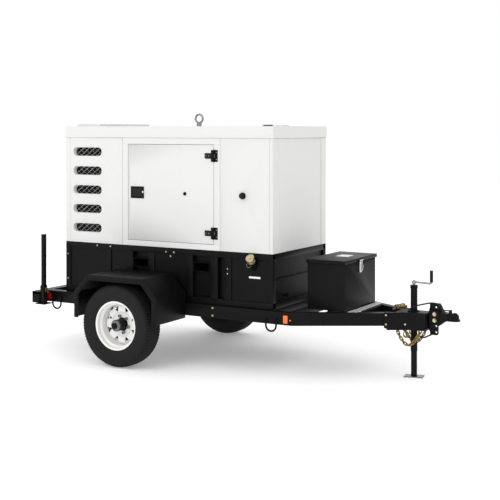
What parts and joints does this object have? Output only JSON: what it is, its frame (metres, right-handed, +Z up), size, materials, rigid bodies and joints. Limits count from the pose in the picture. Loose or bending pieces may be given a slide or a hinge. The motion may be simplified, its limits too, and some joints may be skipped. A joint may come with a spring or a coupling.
{
  "type": "towable diesel generator",
  "caption": "Diesel generator in a white sheet-steel sound enclosure on a black fuel-tank skid, carried by a single-axle road trailer with A-frame tongue, toolbox and tongue jack.",
  "frame": {"origin": "on the ground under the middle of the overall box", "axes": "+X towards the coupler, -Y the right-hand side, +Z up"},
  "size_m": [3.7399, 1.932, 2.095],
  "materials": {
    "black_paint": "satin powder coat",
    "white_paint": "satin powder coat",
    "wheel_white": "gloss enamel",
    "tyre_rubber": "moulded rubber",
    "yellow_zinc": "yellow zinc plate",
    "zinc": "zinc plate",
    "chrome": "polished",
    "mesh_steel": "galvanised expanded metal",
    "tread_plate": "mill finish tread plate",
    "amber_lens": "moulded lens",
    "red_lens": "moulded lens",
    "engine_paint": "engine enamel",
    "alternator_paint": "engine enamel",
    "hot_steel": "heat-tinted steel",
    "black_plastic": "moulded",
    "panel_grey": "light grey enamel",
    "cable_rubber": "jacket",
    "machined_steel": "machined"
  },
  "bodies": {
    "trailer": {"frame_rails": "black_paint", "cross_members": "black_paint", "nose_housing": "black_paint", "step_grating": "tread_plate", "base_frame": "black_paint", "base_panels": "black_paint", "fuel_tank": "black_paint", "corner_posts": "white_paint", "side_panels": "white_paint", "end_panels": "white_paint", "roof": "white_paint", "louvre_mesh": "mesh_steel", "lifting_eye": "zinc", "panel_hardware": "black_paint", "fenders": "black_paint", "tie_down_rings": "black_paint", "amber_markers": "amber_lens", "red_lamps": "red_lens", "axle_tube": "black_paint", "toolbox_body": "black_paint", "jack_tube": "black_paint", "stabiliser_sleeves": "black_paint", "safety_chains": "yellow_zinc", "brake_cables": "cable_rubber", "engine_block": "engine_paint", "alternator": "alternator_paint", "radiator": "black_paint", "exhaust_system": "hot_steel", "battery": "black_plastic", "control_panel": "panel_grey", "fasteners": "yellow_zinc", "coupler_plate": "black_paint", "coupler_body": "black_paint"},
    "door_right": {"door_right": "white_paint", "door_hardware_right": "black_paint"},
    "door_left": {"door_left": "white_paint", "door_hardware_left": "black_paint"},
    "paddle_right": {"door_paddle_right": "black_plastic"},
    "paddle_left": {"door_paddle_left": "black_plastic"},
    "fuel_cap": {"fuel_cap": "yellow_zinc"},
    "stop_button": {"stop_button": "black_plastic"},
    "arm_right": {"torsion_arm_right": "black_paint"},
    "arm_left": {"torsion_arm_left": "black_paint"},
    "wheel_right": {"hub_right": "black_paint", "rim_right": "wheel_white", "tyre_right": "tyre_rubber"},
    "wheel_left": {"hub_left": "black_paint", "rim_left": "wheel_white", "tyre_left": "tyre_rubber"},
    "toolbox_lid": {"toolbox_lid": "black_paint"},
    "toolbox_latch": {"toolbox_latch": "chrome"},
    "jack_leg": {"jack_leg": "black_paint"},
    "jack_crank": {"jack_crank": "zinc"},
    "jack_grip": {"jack_grip": "black_plastic"},
    "stabiliser_right": {"stabiliser_leg_right": "black_paint"},
    "stabiliser_left": {"stabiliser_leg_left": "black_paint"},
    "pin_right": {"stabiliser_pin_right": "yellow_zinc"},
    "pin_left": {"stabiliser_pin_left": "yellow_zinc"},
    "coupler_latch": {"coupler_latch": "black_paint"},
    "rotor": {"crankshaft_and_fan": "machined_steel"}
  },
  "joints": [
    {"name": "door_right_swing", "type": "hinge", "parent": "trailer", "child": "door_right", "pos_m": [-0.07, -0.492, 1.4], "axis": [0, 0, 1], "range_deg": [0, 110]},
    {"name": "door_left_swing", "type": "hinge", "parent": "trailer", "child": "door_left", "pos_m": [-0.07, 0.492, 1.4], "axis": [0, 0, -1], "range_deg": [0, 110]},
    {"name": "paddle_right_pull", "type": "hinge", "parent": "door_right", "child": "paddle_right", "pos_m": [-0.84, -0.487, 1.448], "axis": [-1, 0, 0], "range_deg": [0, 35], "stiffness_Nm_per_rad": 0.6, "springref_deg": -5.73},
    {"name": "paddle_left_pull", "type": "hinge", "parent": "door_left", "child": "paddle_left", "pos_m": [-0.84, 0.487, 1.448], "axis": [1, 0, 0], "range_deg": [0, 35], "stiffness_Nm_per_rad": 0.6, "springref_deg": -5.73},
    {"name": "fuel_cap_turn", "type": "hinge", "parent": "trailer", "child": "fuel_cap", "pos_m": [0.309, -0.545, 0.92], "axis": [0, -0.7071, 0.7071], "range_deg": [0, 90]},
    {"name": "stop_button_press", "type": "slide", "parent": "trailer", "child": "stop_button", "axis": [0, 1, 0], "range_m": [0, 0.006], "stiffness_N_per_m": 400, "springref_m": -0.004},
    {"name": "arm_right_swing", "type": "hinge", "parent": "trailer", "child": "arm_right", "pos_m": [-0.59245, -0.6, 0.3715], "axis": [0, 1, 0], "range_deg": [-12, 17], "stiffness_Nm_per_rad": 4000, "springref_deg": -16.33},
    {"name": "arm_left_swing", "type": "hinge", "parent": "trailer", "child": "arm_left", "pos_m": [-0.59245, 0.6, 0.3715], "axis": [0, 1, 0], "range_deg": [-12, 17], "stiffness_Nm_per_rad": 4000, "springref_deg": -16.33},
    {"name": "wheel_right_roll", "type": "hinge", "parent": "arm_right", "child": "wheel_right", "pos_m": [-0.74, -0.85, 0.3445], "axis": [0, 1, 0], "continuous": true},
    {"name": "wheel_left_roll", "type": "hinge", "parent": "arm_left", "child": "wheel_left", "pos_m": [-0.74, 0.85, 0.3445], "axis": [0, 1, 0], "continuous": true},
    {"name": "toolbox_lid_lift", "type": "hinge", "parent": "trailer", "child": "toolbox_lid", "pos_m": [0.69, 0, 0.886], "axis": [0, -1, 0], "range_deg": [0, 95]},
    {"name": "toolbox_latch_lift", "type": "hinge", "parent": "toolbox_lid", "child": "toolbox_latch", "pos_m": [1.05, -0.025, 0.896], "axis": [0, -1, 0], "range_deg": [0, 80]},
    {"name": "jack_leg_slide", "type": "slide", "parent": "trailer", "child": "jack_leg", "axis": [0, 0, 1], "range_m": [0, 0.19]},
    {"name": "jack_crank_turn", "type": "hinge", "parent": "trailer", "child": "jack_crank", "pos_m": [1.492, 0, 0.74], "axis": [0, 0, 1], "range_deg": [0, 13680]},
    {"name": "jack_grip_spin", "type": "hinge", "parent": "jack_crank", "child": "jack_grip", "pos_m": [1.637, 0, 0.8], "axis": [0, 0, 1], "continuous": true},
    {"name": "stabiliser_right_drop", "type": "slide", "parent": "trailer", "child": "stabiliser_right", "axis": [0, 0, -1], "range_m": [0, 0.36]},
    {"name": "stabiliser_left_drop", "type": "slide", "parent": "trailer", "child": "stabiliser_left", "axis": [0, 0, -1], "range_m": [0, 0.36]},
    {"name": "pin_right_pull", "type": "slide", "parent": "trailer", "child": "pin_right", "axis": [1, 0, 0], "range_m": [0, 0.1]},
    {"name": "pin_left_pull", "type": "slide", "parent": "trailer", "child": "pin_left", "axis": [1, 0, 0], "range_m": [0, 0.1]},
    {"name": "coupler_latch_lift", "type": "hinge", "parent": "trailer", "child": "coupler_latch", "pos_m": [1.792, 0, 0.541], "axis": [0, 1, 0], "range_deg": [0, 60]},
    {"name": "rotor_turn", "type": "hinge", "parent": "trailer", "child": "rotor", "pos_m": [-0.6, 0, 1.25], "axis": [1, 0, 0], "continuous": true}
  ],
  "couplings": [
    {"joint": "jack_leg_slide", "follows": "jack_crank_turn", "m_per_rad": 0.00079577}
  ]
}
